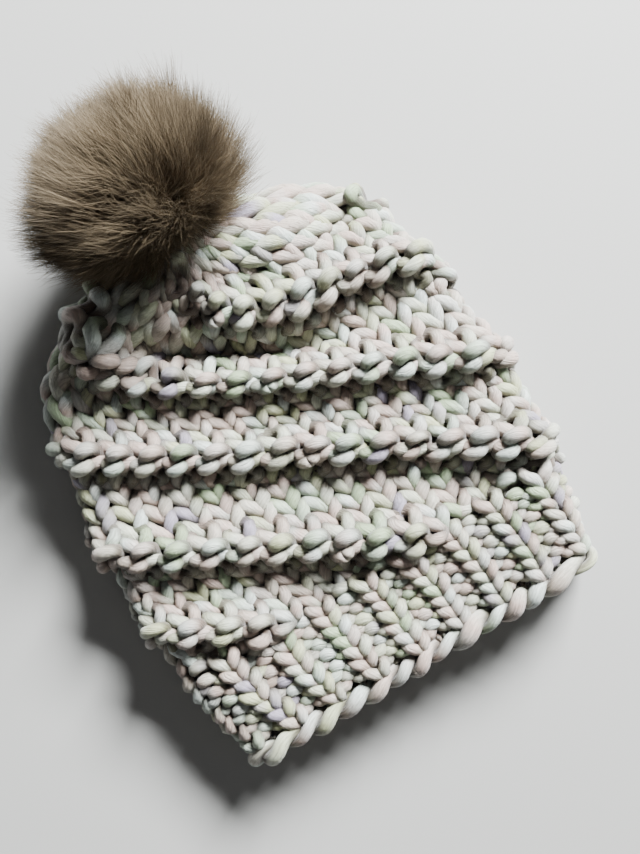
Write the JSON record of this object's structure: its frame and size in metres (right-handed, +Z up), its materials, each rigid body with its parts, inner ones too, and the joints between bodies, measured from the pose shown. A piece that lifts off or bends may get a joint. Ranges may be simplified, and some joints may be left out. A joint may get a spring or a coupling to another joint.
{
  "type": "pom pom beanie",
  "caption": "Hand-knitted bulky beanie lying flat, with a ribbed brim, spiralling raised welts, a gathered crown and a faux-fur pom on a press stud.",
  "frame": {"origin": "On the surface the hat lies on, under the middle of the whole object's box.", "axes": "+Y from the brim to the pom, +X to the right seen from above with the pom at the top, +Z up."},
  "size_m": [0.239, 0.3311, 0.1163],
  "materials": {
    "yarn": "soft matte wool, hand dyed",
    "fur": "long faux-fur pile",
    "fur_backing": "knitted backing cloth",
    "stuffing": "polyester fibre filling",
    "felt": "stiff pressed felt",
    "sewing_thread": "waxed thread",
    "snap_metal": "nickel plate",
    "spring_steel": "spring wire"
  },
  "bodies": {
    "hat_back": {"back_cast_on_edge": "yarn", "back_rib_brim": "yarn", "back_body": "yarn", "back_crown": "yarn", "front_crown": "yarn", "left_side_fold": "yarn", "right_side_fold": "yarn", "left_crown_fold": "yarn", "right_crown_fold": "yarn", "crown_welt": "yarn", "crown_nub": "yarn", "crown_draw_yarn": "yarn"},
    "front_layer": {"front_cast_on_edge": "yarn", "front_rib_brim": "yarn", "front_body": "yarn", "welt_1": "yarn", "welt_2": "yarn", "welt_3": "yarn", "welt_4": "yarn", "welt_5": "yarn"},
    "thread_shank": {"thread_shank": "sewing_thread"},
    "snap_stud": {"snap_stud": "snap_metal", "stud_stitches": "sewing_thread"},
    "snap_spring": {"snap_spring": "spring_steel"},
    "pom": {"snap_socket": "snap_metal", "socket_stitches": "sewing_thread", "pom_base_disc": "felt", "pom_gather_thread": "sewing_thread", "pom_fur_backing": "fur_backing", "pom_stuffing": "stuffing", "pom_fur": "fur"}
  },
  "joints": [
    {"name": "mouth_open", "type": "hinge", "parent": "hat_back", "child": "front_layer", "pos_m": [0, 0.044, 0.035], "axis": [-1, 0, 0], "range_deg": [0, 14]},
    {"name": "pom_nod", "type": "hinge", "parent": "hat_back", "child": "thread_shank", "pos_m": [0, 0.09006, 0.03884], "axis": [1, 0, 0], "range_deg": [-10, 35]},
    {"name": "pom_sway", "type": "hinge", "parent": "thread_shank", "child": "snap_stud", "pos_m": [0, 0.09006, 0.03884], "axis": [0, -0.7431, 0.6691], "range_deg": [-20, 20]},
    {"name": "pom_pull_off", "type": "slide", "parent": "snap_stud", "child": "snap_spring", "axis": [0, 0.6691, 0.7431], "range_m": [0, 0.025]},
    {"name": "pom_spin", "type": "hinge", "parent": "snap_spring", "child": "pom", "pos_m": [0, 0.09006, 0.03884], "axis": [0, 0.6691, 0.7431], "continuous": true}
  ]
}
